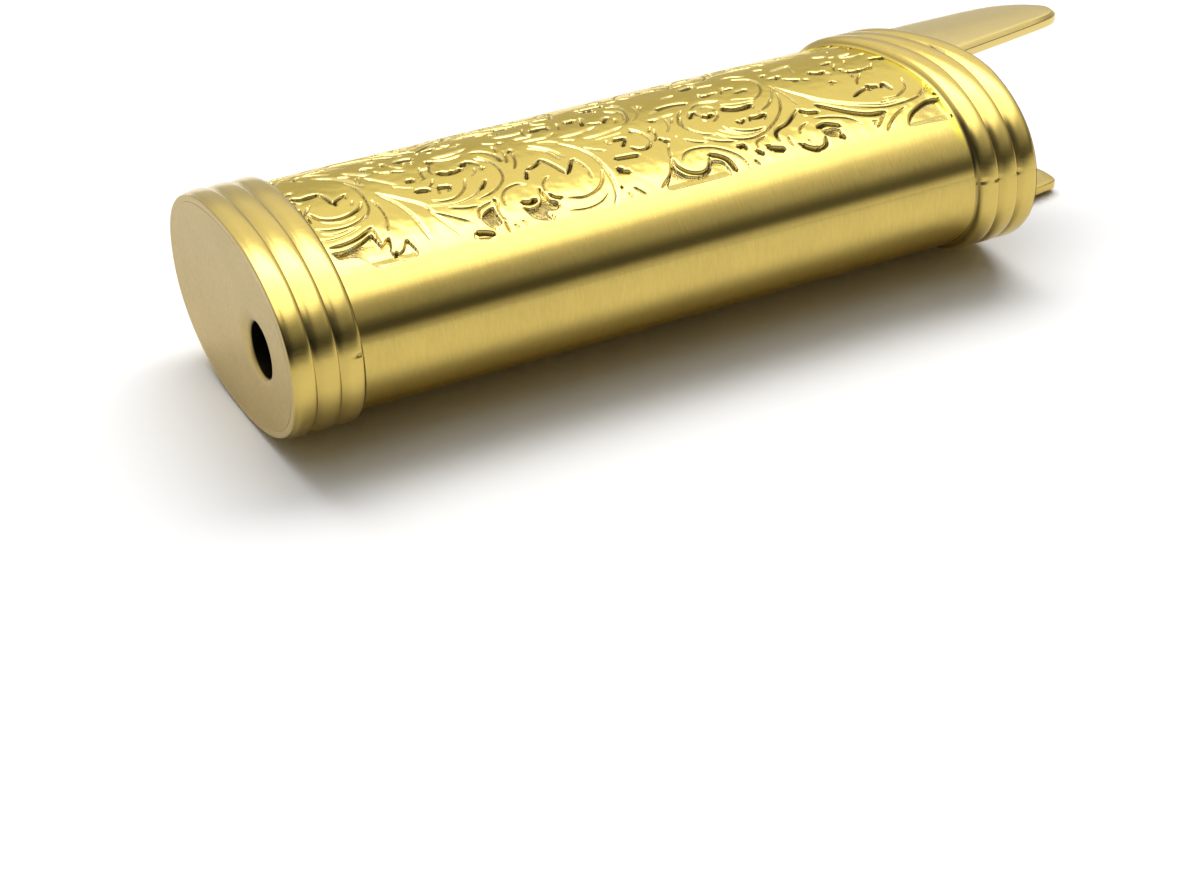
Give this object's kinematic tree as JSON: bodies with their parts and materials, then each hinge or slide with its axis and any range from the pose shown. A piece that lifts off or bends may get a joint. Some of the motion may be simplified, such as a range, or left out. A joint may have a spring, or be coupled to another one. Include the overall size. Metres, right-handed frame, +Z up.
{
  "type": "lighter case",
  "caption": "Oval metal sleeve for a pocket lighter, with ribbed collars, guard ears at the slanted open top, a push-out hole in the base and engraved scrollwork.",
  "frame": {"origin": "bottom centre of the bounding box, on the surface that the case lies on", "axes": "+X along the case from the base plate to the guard ears, +Y across the width to the low thumb side, +Z up through the engraved wide face"},
  "size_m": [0.0834, 0.0286, 0.0183],
  "materials": {
    "engraved_brass": "satin brass, brushed across its length, with hand-cut scrollwork on the upper wide face",
    "brushed_brass": "satin brass, brushed around the ribs",
    "matte_brass": "fine matte brass, flat ground",
    "spring_bronze": "rolled spring bronze"
  },
  "bodies": {
    "case": {"body_sleeve": "engraved_brass", "base_collar": "brushed_brass", "base_plate": "matte_brass", "top_collar": "brushed_brass"},
    "spring": {"grip_spring": "spring_bronze"}
  },
  "joints": [
    {"name": "spring_press", "type": "hinge", "parent": "case", "child": "spring", "pos_m": [0.01485, 0, 0.00195], "axis": [0, -1, 0], "range_deg": [0, 1.15], "stiffness_Nm_per_rad": 8}
  ]
}
